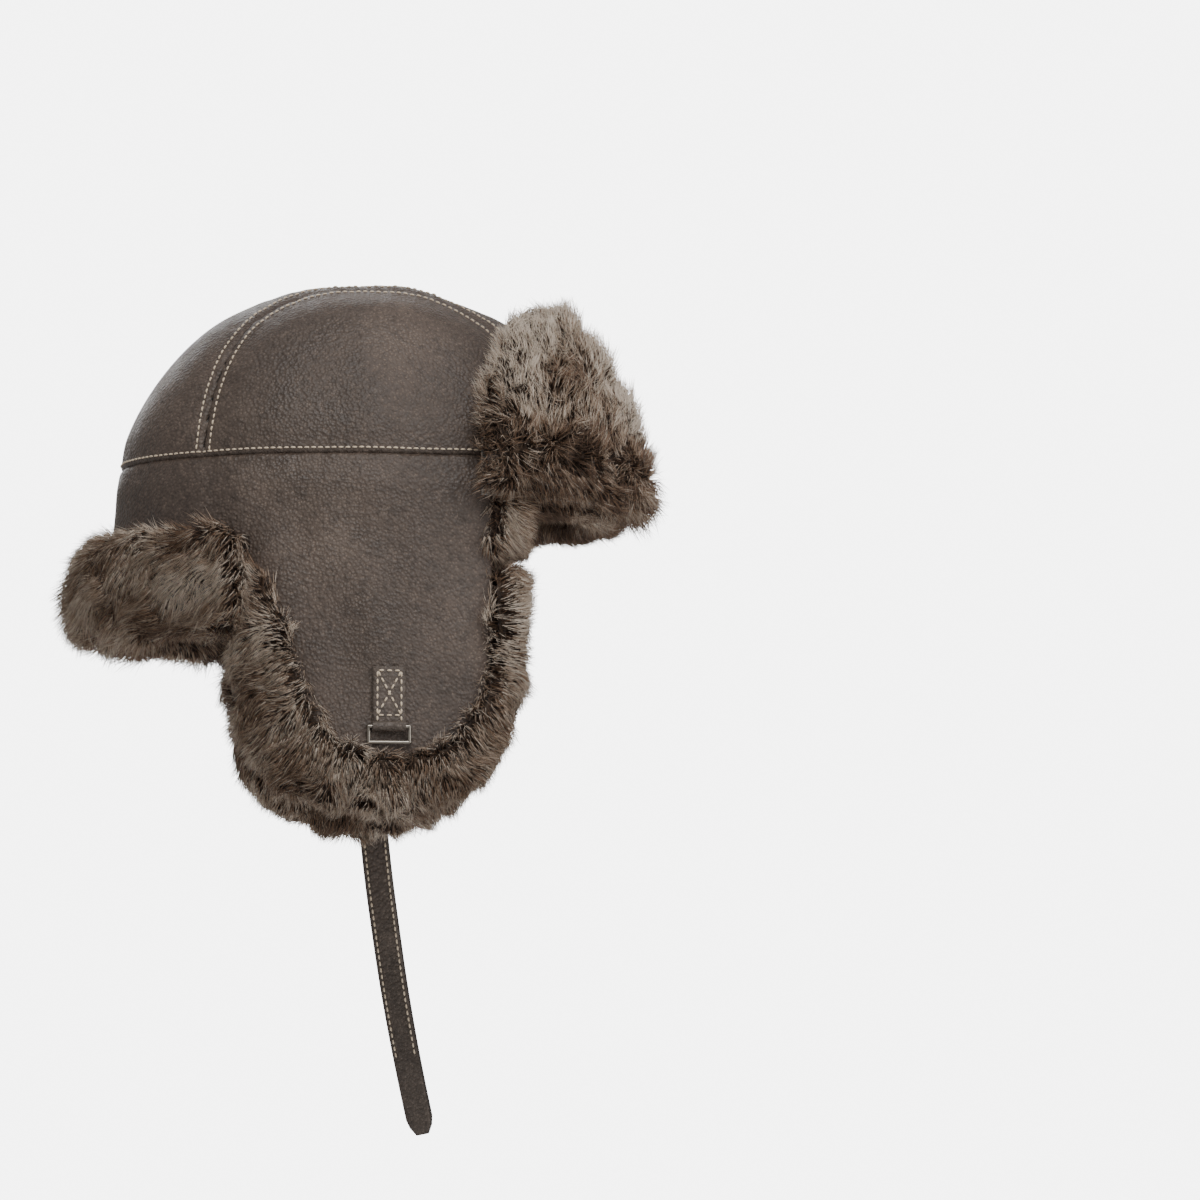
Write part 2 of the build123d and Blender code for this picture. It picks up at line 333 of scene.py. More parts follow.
def make_mesh(name, points, faces, material, body):
    mesh = bpy.data.meshes.new(name)
    mesh.from_pydata([tuple(p) for p in points], [], faces)
    mesh.materials.append(material)
    mesh.shade_smooth()
    piece = bpy.data.objects.new(name, mesh)
    bpy.context.scene.collection.objects.link(piece)
    if body:
        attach(piece, body)
    return piece


def apply(piece, kind, **values):
    """Add a modifier and apply it at once."""
    modifier = piece.modifiers.new(kind, kind)
    for name, value in values.items():
        setattr(modifier, name, value)
    depsgraph = bpy.context.evaluated_depsgraph_get()
    mesh = bpy.data.meshes.new_from_object(piece.evaluated_get(depsgraph))
    piece.modifiers.clear()
    piece.data = mesh


def leather_relief(points):
    """Height of the hide over the form: panels puffed between seams, creased and a little uneven."""
    side = np.abs(points[:, 0]) > 1e-6
    arch = np.where(points[:, 2] > BAND_SEAM, np.abs(arch_distance(points)), 1.0)
    seam = np.abs(points[:, 2] - BAND_SEAM)
    behind = np.where((points[:, 2] < BAND_SEAM) & (points[:, 1] > 0), np.abs(points[:, 0]), 1.0)
    near = np.minimum(np.minimum(arch, seam), behind)
    groove = 0.9 * MM * np.exp(-((near / (1.1 * MM)) ** 2))
    puff = 1.5 * MM * smooth(near, 0, 16 * MM)
    pucker = 0.25 * MM * np.exp(-near / (7 * MM)) * ripple(points, 9 * MM, 3)
    waves = 0.9 * MM * ripple(points * [1, 1, 0.55], 62 * MM, 5)
    folds = 0.5 * MM * ripple(points * [1, 1.2, 0.5], 24 * MM, 8) * smooth(-points[:, 2], -40 * MM, 30 * MM)
    return puff * side - groove + pucker + waves + folds


def grid_rows(top, foot, step):
    return np.linspace(top, foot, int(round((top - foot) / step)) + 1)


def grid_faces(rows, columns):
    """Faces of a grid of points, row by row, wound one way."""
    faces = []
    for r in range(rows - 1):
        for c in range(columns - 1):
            a = r * columns + c
            faces.append([a, a + columns, a + columns + 1, a + 1])
    return faces


def hide_sheet(keep, turns, rows):
    """A grid over the form with relief, cut to the cells that keep() picks."""
    turn, height = np.meshgrid(turns, rows)
    flat = on_form(turn.ravel(), height.ravel())
    columns = len(turns)
    corner = (np.arange(len(rows) - 1)[:, None] * columns + np.arange(columns - 1)).ravel()
    faces = np.stack([corner, corner + 1, corner + 1 + columns, corner + columns], axis=1)
    middle = flat[faces].mean(axis=1)
    faces = faces[keep(middle)]
    used, index = np.unique(faces, return_inverse=True)
    points = flat[used]
    points = points + form_normal(points) * leather_relief(points)[:, None]
    return points, index.reshape(-1, 4).tolist()


def hide(name, keep, turns, rows, nodes, body="root", blend=None):
    points, faces = hide_sheet(keep, turns, rows)
    piece = make_mesh(name, points, faces, LEATHER_SKIN, None if blend else body)
    piece.data.materials.append(CUT_EDGE)
    apply(piece, "WELD", merge_threshold=1e-6)
    apply(piece, "SOLIDIFY", thickness=LEATHER, offset=-1, material_offset_rim=1)
    piece.data.shade_smooth()
    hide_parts(*nodes)
    if blend:
        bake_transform(piece)
    return piece


def inside_outline(y, z, outline):
    """Whether points are inside a closed side-view outline."""
    inside = np.zeros(len(y), bool)
    for (y0, z0), (y1, z1) in zip(outline, outline[1:] + outline[:1]):
        crosses = (z0 > z) != (z1 > z)
        slope = (y1 - y0) / (z1 - z0) if z1 != z0 else 0
        inside ^= crosses & (y < y0 + (z - z0) * slope)
    return inside


# The flap's leather in side view, a little past the fur's edge, which covers the rest.
TONGUE = [
    (-59, -20), (-59, -58), (-57, -88), (-49, -112), (-34, -126), (-10, -133), (14, -128),
    (32, -110), (44, -80), (56, -50), (64, -26), (66, -20),
]
TONGUE = [(y * MM, z * MM) for y, z in TONGUE]



def leather_pieces():
    """The crown's six panels and the two flaps' hides."""
    around = np.linspace(0, 2 * np.pi, 440)
    up = HEIGHT * np.sin(np.linspace(np.pi / 2, np.arcsin(BAND_SEAM / HEIGHT), 96))
    hide("crown_strip", lambda p: arch_distance(p) < 0, around, up, ["crown_center_panel"])
    halves = {"right": (np.linspace(-np.pi, 0, 300), -1), "left": (np.linspace(0, np.pi, 300), 1)}
    wall = grid_rows(BAND_SEAM, TONGUE_FOOT, STEP)
    for word, (turns, side) in halves.items():
        hinge_x = side * FLAP_HINGE_X
        hide(f"crown_side_{word}", lambda p: arch_distance(p) >= 0, turns, up, [f"crown_side_panel_{word}"])

        def neck(p):
            return (p[:, 1] > FLAP_BACK - 6 * MM) & (p[:, 2] <= NECK_CUT) & (p[:, 2] > NECK_FOOT)

        def lower(p):
            y, z = p[:, 1], p[:, 2]
            band = (y > BAND_FRONT) & (z > FOLD) & ((y <= FLAP_BACK) | (z > NECK_CUT))
            return band | inside_outline(y, z, TONGUE)

        hide(
            f"band_and_flap_{word}", lower, turns, wall, [f"band_panel_{word}", f"flap_shell_{word}"],
            blend=("root", f"ear_flap_{word}", (hinge_x, 0, BEND_TOP), (hinge_x, 0, BEND_FOOT)),
        )
        hide(f"neck_hide_{word}", neck, turns, wall, [f"band_panel_{word}"])
    front = grid_rows(BAND_SEAM, 0.0, STEP)
    hide("forehead", lambda p: p[:, 1] <= BAND_FRONT + MM, around, front, ["forehead_panel"])


FLEECE_DEPTH, FLEECE_THICKNESS = 4.2 * MM, 0.9 * MM


def wadding():
    """The crown's fleece, between the hide and the lining."""
    turns = np.linspace(0, 2 * np.pi, 160)
    rows = HEIGHT * np.sin(np.linspace(np.pi / 2, 0.03, 60))
    turn, height = np.meshgrid(turns, rows)
    points = on_form(turn.ravel(), height.ravel())
    points = points - form_normal(points) * FLEECE_DEPTH
    faces = [face[::-1] for face in grid_faces(len(rows), len(turns))]
    piece = make_mesh("crown_fleece", points, faces, FLEECE, "root")
    apply(piece, "WELD", merge_threshold=1e-5)
    apply(piece, "SOLIDIFY", thickness=FLEECE_THICKNESS, offset=0)
    piece.data.shade_smooth()
    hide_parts("crown_wadding")


def forehead_binding():
    """The fur that is turned under the forehead edge and closes its layers."""
    start = np.arccos(BAND_FRONT / HALF_LENGTH)
    stations, ring = 200, 10
    turns = np.linspace(start, 2 * np.pi - start, stations)
    center = on_form(turns, np.full(stations, -0.2 * MM))
    out = form_normal(center) * [1, 1, 0]
    depth, drop = 4.6 * MM, 2.2 * MM
    points = []
    for angle in np.radians(np.linspace(0, 180, ring)):
        outward = depth * (np.cos(angle) - 0.9) + 0.5 * MM
        points.append(center + out * outward - [0, 0, drop * np.sin(angle)])
    points = np.stack(points, axis=1).reshape(-1, 3)
    faces = []
    for r in range(stations - 1):
        for k in range(ring - 1):
            a = r * ring + k
            faces.append([a, a + 1, a + ring + 1, a + ring])
    piece = make_mesh("forehead_binding", points, faces, UNDERCOAT, "root")
    apply(piece, "SOLIDIFY", thickness=1.0 * MM, offset=0)
    piece.data.shade_smooth()
    layered_fur(
        "forehead_pile", piece, "root", 1, 18000, 9 * MM,
        lambda p, n: unit(p * [1, 1, 0]) * 0.5 + np.array([0, 0, -1]),
        light=0.25, seed=160, keep=lambda p, n: p[:, 2] < 0,
    )


# ---------- stitches ----------


def stitch_mesh(points, normals, pitch, length, radius):
    """Thread beads along a polyline on a surface, each half sunk in it."""
    points, normals = np.asarray(points), np.asarray(normals)
    gaps = np.linalg.norm(np.diff(points, axis=0), axis=1)
    along = np.concatenate([[0], np.cumsum(gaps)])
    count = max(1, int(along[-1] / pitch))
    centers = (np.arange(count) + 0.5) * along[-1] / count
    place = lambda t, data: np.stack([np.interp(t, along, data[:, k]) for k in range(3)], axis=1)
    middle, normal = place(centers, points), place(centers, normals)
    half = length / 2
    heading = place(centers + half, points) - place(centers - half, points)
    heading /= np.maximum(np.linalg.norm(heading, axis=1, keepdims=True), 1e-9)
    across = np.cross(heading, normal)
    across /= np.maximum(np.linalg.norm(across, axis=1, keepdims=True), 1e-9)
    normal = np.cross(across, heading)
    sides = 6
    rings = [(-1.0, 0.25, -0.5), (-0.6, 0.9, 0.25), (0.0, 1.0, 0.45), (0.6, 0.9, 0.25), (1.0, 0.25, -0.5)]
    angles = np.arange(sides) * 2 * np.pi / sides
    rows = []
    for reach, size, lift in rings:
        base = middle + heading * half * reach + normal * radius * lift
        ring = across[:, None] * np.cos(angles)[:, None] + normal[:, None] * np.sin(angles)[:, None]
        rows.append(base[:, None] + ring * radius * size)
    verts = np.stack(rows, axis=1).reshape(-1, 3)
    faces = []
    for row in range(len(rings) - 1):
        for k in range(sides):
            a, b = row * sides + k, row * sides + (k + 1) % sides
            faces.append([a, b, b + sides, a + sides])
    ends = [list(range(sides))[::-1], [(len(rings) - 1) * sides + k for k in range(sides)]]
    block = len(rings) * sides
    everything = []
    for number in range(count):
        everything += [[v + number * block for v in face] for face in faces + ends]
    return verts, everything


def stitch_piece(name, rows, body, blend=None):
    verts, faces, total = [], [], 0
    for points, normals in rows:
        v, f = stitch_mesh(points, normals, STITCH_PITCH, STITCH_LENGTH, STITCH_RADIUS)
        verts.append(v)
        faces += [[k + total for k in face] for face in f]
        total += len(v)
    piece = make_mesh(name, np.concatenate(verts), faces, THREAD, None if blend else body)
    if blend:
        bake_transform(piece)
    return piece


def lifted(points, height=0.0):
    """Points moved onto the relief of the hide, with their normals."""
    normals = form_normal(points)
    return points + normals * (leather_relief(points) + height)[:, None], normals


def seam_stitches():
    """Two rows along each arched seam, and one above the band seam."""
    turns = np.radians(np.linspace(0, 180, 220))
    rows = []
    for side in (-1, 1):
        for shift in (-3.2 * MM, 3.2 * MM):
            half, height = ARCH_HALF + shift, ARCH_HEIGHT + shift * 0.75
            y = ARCH_Y + np.sign(np.cos(turns)) * half * np.abs(np.cos(turns)) ** (2 / ARCH_POWER)
            z = height * np.abs(np.sin(turns)) ** (2 / ARCH_POWER)
            keep = (z > BAND_SEAM + 2 * MM) & (form_scale(z) * HALF_LENGTH > np.abs(y))
            rows.append(lifted(side_point(y[keep], z[keep], side)))
    around = np.linspace(0.001, 2 * np.pi - 0.001, 900)
    rows.append(lifted(on_form(around, np.full(900, BAND_SEAM + 2.6 * MM))))
    stitch_piece("seam_stitches", rows, "root")


# ---------- fur ----------


def pad(name, nodes, body, shrink, voxel=3 * MM, rounds=8, blend=None):
    """A rounded undercoat pad from CAD solids: remeshed, smoothed and drawn in."""
    points, faces, total = [], [], 0
    for node in nodes:
        mesh = bpy.data.objects[node].data
        co = np.empty(len(mesh.vertices) * 3)
        mesh.vertices.foreach_get("co", co)
        points.append(co.reshape(-1, 3))
        faces += [[v + total for v in face.vertices] for face in mesh.polygons]
        total += len(mesh.vertices)
    piece = make_mesh(name, np.concatenate(points), faces, UNDERCOAT, None if blend else body)
    apply(piece, "REMESH", mode="VOXEL", voxel_size=voxel)
    apply(piece, "SMOOTH", factor=0.6, iterations=rounds)
    mesh = piece.data
    co = np.empty(len(mesh.vertices) * 3)
    mesh.vertices.foreach_get("co", co)
    co = co.reshape(-1, 3)
    normals = np.array([v.normal for v in mesh.vertices])
    lumps = shrink * (1 + 0.45 * ripple(co, 16 * MM, 11))
    mesh.vertices.foreach_set("co", (co - normals * lumps[:, None]).ravel())
    mesh.materials.clear()
    mesh.materials.append(UNDERCOAT)
    mesh.shade_smooth()
    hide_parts(*nodes)
    return piece


def surface_samples(piece, count, rng):
    mesh = piece.data
    mesh.calc_loop_triangles()
    corners = np.array([t.vertices for t in mesh.loop_triangles])
    co = np.empty(len(mesh.vertices) * 3)
    mesh.vertices.foreach_get("co", co)
    co = co.reshape(-1, 3)
    vertex_normals = np.array([v.normal for v in mesh.vertices])
    a, b, c = co[corners[:, 0]], co[corners[:, 1]], co[corners[:, 2]]
    area = np.linalg.norm(np.cross(b - a, c - a), axis=1)
    pick = rng.choice(len(corners), count, p=area / area.sum())
    u, v = rng.random(count), rng.random(count)
    flip = u + v > 1
    u, v = np.where(flip, 1 - u, u), np.where(flip, 1 - v, v)
    weights = np.stack([1 - u - v, u, v], axis=1)[:, :, None]
    points = (co[corners[pick]] * weights).sum(axis=1)
    normals = (vertex_normals[corners[pick]] * weights).sum(axis=1)
    return points, normals / np.linalg.norm(normals, axis=1, keepdims=True)


def unit(vectors):
    return vectors / np.maximum(np.linalg.norm(vectors, axis=1, keepdims=True), 1e-9)


def tone_choice(rng, light):
    """Tones of a strand's lower and upper part; light is 0 to 1 for each strand."""
    draw = rng.random(len(light))
    lower = np.where(draw < 0.45, 0, np.where(draw < 0.9, 1, 2))
    score = light + rng.normal(0, 0.22, len(light))
    upper = np.select([score < 0.22, score < 0.42, score < 0.72], [1, 2, 3], 4)
    return lower, upper


def fur(
    name, base, body, count, length, comb, seed, flow,
    width=0.25 * MM, lift=0.55, light=0.5, blend=None, keep=None,
):
    """Pile on a pad: tapered strands that lean the way comb() says and gather in locks."""
    rng = np.random.default_rng(seed)
    roots, normals = surface_samples(base, count, rng)
    if keep is not None:
        chosen = keep(roots, normals)
        roots, normals = roots[chosen], normals[chosen]
    count = len(roots)
    lean = comb(roots, normals)
    lean = unit(lean - normals * (lean * normals).sum(axis=1, keepdims=True))
    swirl = np.stack([ripple(roots, 26 * MM, flow + k) for k in (1, 2, 3)], axis=1)
    lean = unit(lean + 0.42 * swirl + rng.normal(0, 0.16, (count, 3)))
    start = unit(normals * (lift + 0.35) + lean * 0.6 + rng.normal(0, 0.1, (count, 3)))
    end = unit(normals * lift * 0.7 + lean)
    reach = length * (1 + 0.16 * ripple(roots, 30 * MM, flow + 9)) * rng.uniform(0.65, 1.2, count)
    middle = roots + start * (reach * 0.48)[:, None]
    tips = middle + end * (reach * 0.56)[:, None]
    lock_count = max(20, count // 11)
    tree = kdtree.KDTree(lock_count)
    for number in range(lock_count):
        tree.insert(roots[number], number)
    tree.balance()
    lock = np.array([tree.find(root)[1] for root in roots])
    pull = rng.uniform(0.08, 0.5, count)[:, None]
    tips = tips + (tips[lock] - tips) * pull
    middle = middle + (middle[lock] - middle) * pull * 0.3
    across = unit(np.cross(end, normals) + rng.normal(0, 0.3, (count, 3)))
    third = unit(np.cross(end, across))
    size = width * rng.uniform(0.7, 1.25, count)
    angles = np.arange(3) * 2 * np.pi / 3
    spokes = across[:, None] * np.cos(angles)[:, None] + third[:, None] * np.sin(angles)[:, None]
    low = (roots - normals * 1.2 * MM)[:, None] + spokes * size[:, None, None]
    high = middle[:, None] + spokes * (size * 0.72)[:, None, None]
    points = np.concatenate([low, high, tips[:, None]], axis=1).reshape(-1, 3)
    quads = np.array([[k, (k + 1) % 3, 3 + (k + 1) % 3, 3 + k] for k in range(3)])
    points_up = np.array([[3 + k, 3 + (k + 1) % 3, 6] for k in range(3)])
    offset = (np.arange(count) * 7)[:, None, None]
    all_quads = (quads[None] + offset).reshape(count, -1)
    all_tips = (points_up[None] + offset).reshape(count, -1)
    caps = (np.array([[2, 1, 0]])[None] + offset).reshape(count, -1)
    loops = np.concatenate([all_quads, all_tips, caps], axis=1).ravel()
    sizes = np.tile([4, 4, 4, 3, 3, 3, 3], count)
    score = light + 0.2 * ripple(roots, 34 * MM, flow + 20)
    lower, upper = tone_choice(rng, score)
    tones = np.stack([lower, lower, lower, upper, upper, upper, lower], axis=1).ravel()
    mesh = bpy.data.meshes.new(name)
    mesh.vertices.add(len(points))
    mesh.vertices.foreach_set("co", points.ravel())
    mesh.loops.add(len(loops))
    mesh.loops.foreach_set("vertex_index", loops)
    mesh.polygons.add(len(sizes))
    mesh.polygons.foreach_set("loop_start", np.concatenate([[0], np.cumsum(sizes)[:-1]]))
    for tone in HAIR_TONES:
        mesh.materials.append(HAIR[tone])
    mesh.polygons.foreach_set("material_index", tones.astype(np.int32))
    mesh.update(calc_edges=True)
    mesh.shade_smooth()
    piece = bpy.data.objects.new(name, mesh)
    bpy.context.scene.collection.objects.link(piece)
    if blend:
        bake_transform(piece)
    else:
        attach(piece, body)
    return piece


def toward(*direction):
    return lambda points, normals: np.tile(direction, (len(points), 1)).astype(float)


def away_from(y, z, drop=0.0):
    """Comb outwards in side view from a point."""

    def comb(points, normals):
        out = points - np.array([0, y, z])
        out[:, 0] *= 0.15
        return unit(out) + np.array([0, 0, drop])

    return comb


def outside_form(points, grow):
    """Whether points are outside the crown's form with its outer face moved out by grow."""
    scale = form_scale(points[:, 2])
    wall = np.hypot(points[:, 0] / (HALF_WIDTH * scale + grow), points[:, 1] / (HALF_LENGTH * scale + grow))
    size = np.array([HALF_WIDTH, HALF_LENGTH, HEIGHT]) + grow
    return np.where(points[:, 2] > 0, np.linalg.norm(points / size, axis=1), wall) > 1


def inward(points, normals):
    return (normals * unit(points * [1, 1, 0])).sum(axis=1) < -0.3


def layered_fur(name, base, body, parts, count, *rest, **options):
    """The same pile in several pieces, so that no piece is too heavy."""
    seed = options.pop("seed")
    for part in range(parts):
        fur(f"{name}_{part + 1}", base, body, count, *rest, seed + 1000 * part, flow=seed, **options)


VISOR_SHADE_TOP, VISOR_HIGH = 34 * MM, 68 * MM  # the pile's tone steps up at these heights; below the first the pile is darker as painted shade under the fold
VISOR_BEND_START, VISOR_BEND_END = -60 * MM, -108 * MM
REACH = 1.0  # past the hat in any direction


def visor_fur():
    """The visor's pile, in three tones from the fold to the top; the darkest, low by the fold, is painted
    shade under it.
    """
    blend = ("root", "visor", (0, VISOR_BEND_START, 0), (0, VISOR_BEND_END, 0))
    base = pad("visor_fur_pad", ["visor_fur"], "visor", 6 * MM, blend=blend)

    def comb(points, normals):
        """Up and outwards on the face, back over the near edges, and down under the fold."""
        up = unit(np.stack([points[:, 0] * 2, -0.02 + 0 * points[:, 1], 0.10 + 0 * points[:, 2]], axis=1))
        low = smooth(-points[:, 2], -34 * MM, -6 * MM)[:, None]
        edge = smooth(points[:, 1], -76 * MM, -60 * MM)[:, None]
        mixed = up * (1 - low) + np.array([0, -0.25, -1]) * low
        return mixed * (1 - 0.7 * edge) + np.array([0, 1, 0.1]) * 0.7 * edge

    clear = 9 * MM
    # the low band's dark tone is painted shade at and under the fold
    bands = (
        ("low", -REACH, VISOR_SHADE_TOP, 0.30),
        ("middle", VISOR_SHADE_TOP, VISOR_HIGH, 0.66),
        ("high", VISOR_HIGH, REACH, 0.80),
    )
    for word, foot, top, light in bands:
        layered_fur(
            f"visor_pile_{word}", base, "visor", 2, 30000, 14 * MM, comb, light=light, blend=blend, seed=101,
            keep=lambda p, n: outside_form(p, clear) & (p[:, 2] >= foot) & (p[:, 2] < top),
        )
    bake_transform(base)


def neck_fur():
    roll = pad("neck_roll_pad", ["neck_fur_trim"], "root", 3 * MM)
    layered_fur(
        "neck_roll_pile", roll, "root", 2, 24000, 14 * MM,
        lambda p, n: unit(p * [1, 1, 0]) + np.array([0, 0.2, -0.9]),
        light=0.56, seed=110, keep=lambda p, n: outside_form(p, 0.0),
    )
    lining = pad("neck_lining_pad", ["neck_fur_lining"], "root", 1.5 * MM, rounds=3)
    layered_fur("neck_lining_pile", lining, "root", 1, 40000, 10 * MM, toward(0, 0, -1), light=0.3, seed=111,
                keep=lambda p, n: inward(p, n) | ((p[:, 2] < -55 * MM) & (p[:, 1] > FLAP_BACK)))
    brow = pad("brow_fur_pad", ["sweatband"], "root", 0.0, voxel=1.2 * MM, rounds=1)
    layered_fur("brow_pile", brow, "root", 1, 60000, 13 * MM, toward(0, 0.1, -1), light=0.22, seed=115,
                keep=lambda p, n: inward(p, n) & (p[:, 1] < -38 * MM) & (p[:, 2] < 26 * MM))


def flap_fur(word, number):
    body, middle = f"ear_flap_{word}", (-4 * MM, -75 * MM)
    trim = pad(f"trim_pad_{word}", [f"flap_fur_trim_{word}"], body, 3.5 * MM)
    layered_fur(f"trim_pile_{word}", trim, body, 2, 19500, 12 * MM, away_from(*middle, -0.2), light=0.50,
                seed=120 + number)
    inner = pad(f"flap_lining_pad_{word}", [f"flap_fur_lining_{word}"], body, 2 * MM)
    layered_fur(f"flap_lining_pile_{word}", inner, body, 1, 36000, 12 * MM, toward(0, 0, -1), light=0.36,
                seed=130 + number, keep=lambda p, n: inward(p, n))
    temple = pad(f"temple_pad_{word}", [f"temple_fur_{word}"], "root", 2 * MM, rounds=4)
    layered_fur(f"temple_pile_{word}", temple, "root", 1, 8000, 12 * MM, toward(0, -1, -0.7), light=0.5,
                seed=140 + number)


def fur_pieces():
    visor_fur()
    neck_fur()
    for number, word in enumerate(("right", "left")):
        flap_fur(word, number)


# ---------- strap, tab, ring, patches ----------


def flap_strip(name, top, foot, body, node, material, height=2.0 * MM):
    """A sewn strip of strap on the flap, from one height to another, with rounded edges."""
    side = 1 if node.endswith("left") else -1
    rows = np.linspace(top, foot, 18)
    columns = np.linspace(TAB_Y - TAB_HALF, TAB_Y + TAB_HALF, 12)
    y, z = np.meshgrid(columns, rows)
    points, normals = lifted(side_point(y.ravel(), z.ravel(), side))
    edge = np.minimum(TAB_HALF - np.abs(y.ravel() - TAB_Y), 1.5 * MM) / (1.5 * MM)
    points = points + normals * (height * (0.78 + 0.22 * np.sqrt(np.maximum(edge, 0))))[:, None]
    faces = grid_faces(len(rows), len(columns))
    if side < 0:
        faces = [[face[0], face[3], face[2], face[1]] for face in faces]
    piece = make_mesh(name, points, faces, material, body)
    piece.data.materials.append(CUT_EDGE)
    apply(piece, "SOLIDIFY", thickness=1.9 * MM, offset=-1, material_offset_rim=1)
    piece.data.shade_smooth()
    return piece


def strip_stitches(name, top, foot, box_foot, side, body):
    """A stitched box with a cross in it, and two edge rows that run on below."""
    inset = TAB_HALF - 2.4 * MM
    left, right = TAB_Y - inset, TAB_Y + inset
    top -= 2 * MM
    lines = [((left, top), (right, top)), ((left, box_foot), (right, box_foot))]
    lines += [((left, top), (left, foot)), ((right, top), (right, foot))]
    lines += [((left, top), (right, box_foot)), ((right, top), (left, box_foot))]
    rows = []
    for (y0, z0), (y1, z1) in lines:
        t = np.linspace(0, 1, 24)
        rows.append(lifted(side_point(y0 + (y1 - y0) * t, z0 + (z1 - z0) * t, side), 2.0 * MM))
    stitch_piece(name, rows, body)


def tab_pieces():
    flap_strip("tab_strip", TAB_TOP, LOOP_Z + 1 * MM, "ear_flap_right", "ring_tab_right", STRAP_SKIN)
    strip_stitches("tab_stitches", TAB_TOP, LOOP_Z + 2 * MM, -110 * MM, -1, "ear_flap_right")
    anchor_end = ANCHOR_FOOT - 2 * MM
    anchor = flap_strip("strap_anchor", TAB_TOP, anchor_end, "ear_flap_left", "strap_anchor_left", STRAP_SKIN)
    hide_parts("strap_anchor_left")
    strip_stitches("anchor_stitches", TAB_TOP, ANCHOR_FOOT, -103 * MM, 1, "ear_flap_left")


# The chin strap's route, from its anchor over the fur and down.
STRAP_ROUTE = [
    (90.6, -8, -105), (91.2, -8, -113), (95.8, -8, -121), (99.2, -8.5, -130.5), (101.0, -9.5, -143),
    (101.4, -11, -160), (100.6, -13.5, -182), (99.4, -17, -207), (98.6, -21, -234), (98.3, -26, -262),
    (98.9, -31.5, -289), (99.9, -37, -313.5),
]
STRAP_WIDTH, STRAP_THICKNESS = 15 * MM, 2.4 * MM


def strap_line():
    """Points read from the strap's NURBS route."""
    curve = bpy.data.curves.new("strap_route", "CURVE")
    curve.dimensions = "3D"
    spline = curve.splines.new("NURBS")
    spline.points.add(len(STRAP_ROUTE) - 1)
    for point, (x, y, z) in zip(spline.points, STRAP_ROUTE):
        point.co = (x * MM, y * MM, z * MM, 1)
    spline.order_u = 3
    spline.use_endpoint_u = True
    spline.resolution_u = 10
    holder = bpy.data.objects.new("strap_route", curve)
    mesh = bpy.data.meshes.new_from_object(holder)
    line = np.array([v.co[:] for v in mesh.vertices])
    bpy.data.objects.remove(holder)
    return line


def strap_frames(line):
    heading = unit(np.gradient(line, axis=0))
    twist = 0.5 * smooth(np.linspace(0, 1, len(line)), 0.25, 1.0)
    wide = np.stack([np.sin(twist) * 0.9, np.cos(twist), 0 * twist], axis=1)
    wide = unit(wide - heading * (wide * heading).sum(axis=1, keepdims=True))
    return heading, wide, np.cross(wide, heading)


def chin_strap():
    line = strap_line()
    heading, wide, face = strap_frames(line)
    along = np.concatenate([[0], np.cumsum(np.linalg.norm(np.diff(line, axis=0), axis=1))])
    left = along[-1] - along
    half = STRAP_WIDTH / 2 * np.clip(0.45 + 0.55 * np.sqrt(np.clip(left / (9 * MM), 0, 1)), 0, 1)
    thick = STRAP_THICKNESS / 2
    corner = 0.45  # where the cut edge turns, as a share of half the thickness
    section = [(-1, -corner), (-1, corner), (-0.93, 1), (-0.5, 1.06), (0, 1.08), (0.5, 1.06), (0.93, 1)]
    section += [(1, corner), (1, -corner), (0.93, -1), (0.5, -1.06), (0, -1.08), (-0.5, -1.06), (-0.93, -1)]
    rows = [line + wide * (half * u)[:, None] + face * (thick * v) for u, v in section]
    points = np.stack(rows, axis=1).reshape(-1, 3)
    n = len(section)
    faces, edges = [], []
    for r in range(len(line) - 1):
        for k in range(n):
            a, b = r * n + k, r * n + (k + 1) % n
            faces.append([a, a + n, b + n, b])
            edges.append(1 if k in (0, 1, 6, 7, 8, 13) else 0)
    faces += [list(range(n)), [(len(line) - 1) * n + k for k in range(n)][::-1]]
    edges += [1, 1]
    piece = make_mesh("strap", points, faces, STRAP_SKIN, "ear_flap_left")
    piece.data.materials.append(CUT_EDGE)
    piece.data.polygons.foreach_set("material_index", edges)
    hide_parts("chin_strap")
    rows = []
    keep = slice(4, -12)
    for sign in (-1, 1):
        for offset in (-1, 1):
            row = line + wide * (offset * (STRAP_WIDTH / 2 - 2.2 * MM)) + face * (sign * thick * 1.04)
            rows.append((row[keep], (face * sign)[keep]))
    threads = stitch_piece("strap_stitches", rows, "ear_flap_left")


def patch(name, y, z, body, node):
    """A tweed patch with an overcast edge, on the left side."""
    half_y, half_z = 23.5 * MM, 16 * MM
    columns, rows = np.linspace(-half_y, half_y, 36), np.linspace(half_z, -half_z, 26)
    across, down = np.meshgrid(columns, rows)
    across, down = across.ravel() + y, down.ravel() + z
    points, normals = lifted(side_point(across, down, 1))
    points += normals * 0.9 * MM
    piece = make_mesh(name, points, grid_faces(len(rows), len(columns)), TWEED, body)
    apply(piece, "SOLIDIFY", thickness=0.9 * MM, offset=-1)
    piece.data.shade_smooth()
    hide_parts(node)
    t = np.linspace(0, 1, 60)
    inset_y, inset_z = half_y - 1.6 * MM, half_z - 1.6 * MM
    corners = [(-inset_y, inset_z), (inset_y, inset_z), (inset_y, -inset_z), (-inset_y, -inset_z)]
    rows = []
    for (y0, z0), (y1, z1) in zip(corners, corners[1:] + corners[:1]):
        rows.append(lifted(side_point(y + y0 + (y1 - y0) * t, z + z0 + (z1 - z0) * t, 1), 0.95 * MM))
    stitch_piece(name + "_stitches", rows, body)


def patches():
    patch("patch_upper", 32 * MM, 51 * MM, "root", "tweed_patch_upper")
    patch("patch_lower", -32 * MM, -47 * MM, "ear_flap_left", "tweed_patch_lower")


